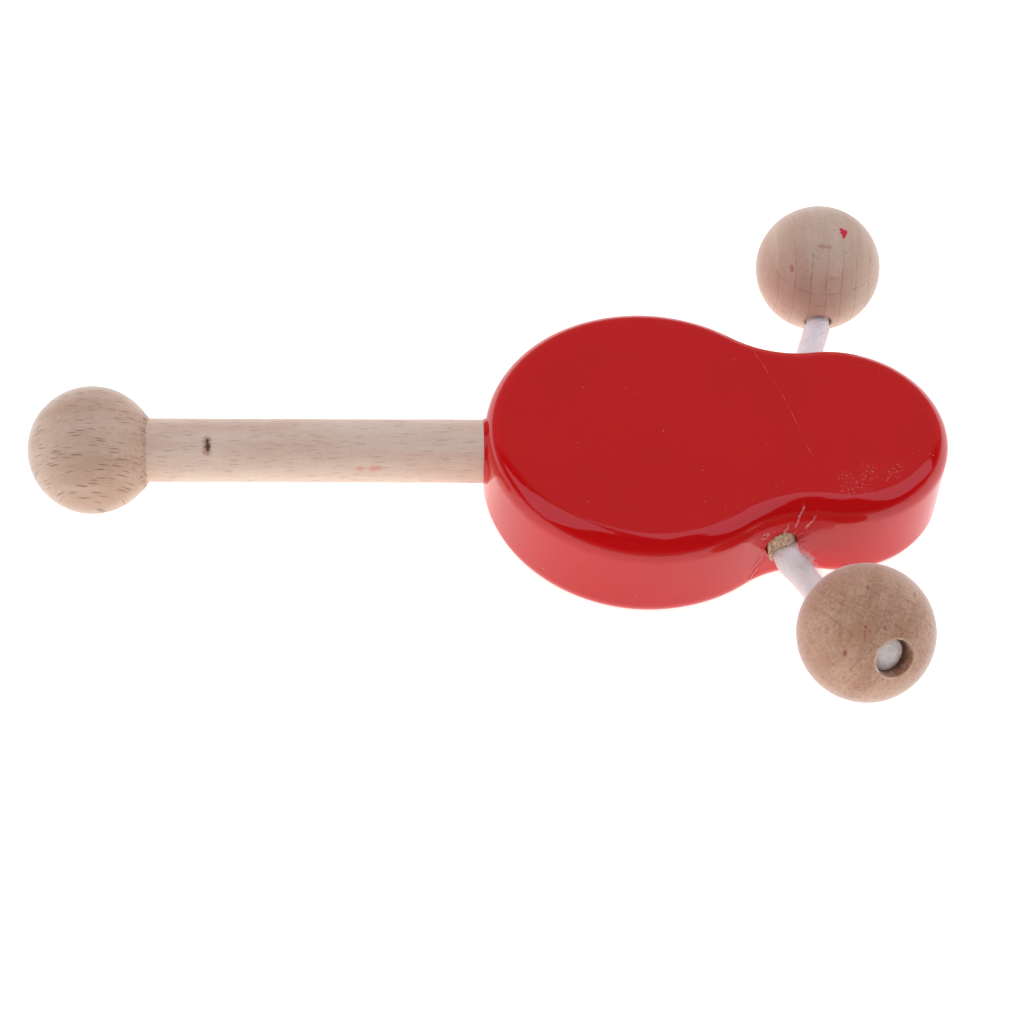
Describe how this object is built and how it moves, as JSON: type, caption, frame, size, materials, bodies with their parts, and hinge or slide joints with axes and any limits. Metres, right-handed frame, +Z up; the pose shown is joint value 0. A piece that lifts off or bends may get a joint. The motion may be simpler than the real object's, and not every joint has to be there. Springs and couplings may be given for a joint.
{
  "type": "pellet drum rattle",
  "caption": "Wooden twirling rattle: a red figure-eight block on a ball-ended dowel handle, struck by beater balls that swing on a cotton cord pegged through its waist.",
  "frame": {"origin": "centre of the large lobe on the block's lower face, which lies on the table", "axes": "+X from the handle towards the small lobe, +Y towards the far beater ball, +Z up through the block's thickness"},
  "size_m": [0.1729, 0.1173, 0.025],
  "materials": {
    "red_lacquer": "gloss red lacquer on wood",
    "beech_dowel": "bare sanded beech",
    "beech_ball": "bare turned beech",
    "raw_peg": "rough split wood with dried glue",
    "cotton_cord": "soft white cotton"
  },
  "bodies": {
    "drum": {"drum_block": "red_lacquer", "handle_rod": "beech_dowel", "handle_ball": "beech_ball", "near_peg": "raw_peg", "far_peg": "raw_peg", "cord_core": "cotton_cord"},
    "near_cord": {"near_cord": "cotton_cord"},
    "near_beater": {"near_ball": "beech_ball", "near_cord_tail": "cotton_cord"},
    "far_cord": {"far_cord": "cotton_cord"},
    "far_beater": {"far_ball": "beech_ball", "far_cord_tail": "cotton_cord"}
  },
  "joints": [
    {"name": "near_cord_swing", "type": "hinge", "parent": "drum", "child": "near_cord", "pos_m": [0.025, -0.0235, 0.01], "axis": [-1, 0, 0], "range_deg": [-80, 65], "deforming": ["near_cord"]},
    {"name": "near_ball_sweep", "type": "hinge", "parent": "near_cord", "child": "near_beater", "pos_m": [0.0284, -0.02665, 0.0071], "axis": [0, 0, 1], "range_deg": [-50, 5], "deforming": ["near_cord"]},
    {"name": "far_cord_swing", "type": "hinge", "parent": "drum", "child": "far_cord", "pos_m": [0.025, 0.0235, 0.01], "axis": [1, 0, 0], "range_deg": [-100, 100], "deforming": ["far_cord"]},
    {"name": "far_ball_sweep", "type": "hinge", "parent": "far_cord", "child": "far_beater", "pos_m": [0.0314, 0.0263, 0.0087], "axis": [0, 0, 1], "range_deg": [-10, 45], "deforming": ["far_cord"]}
  ]
}
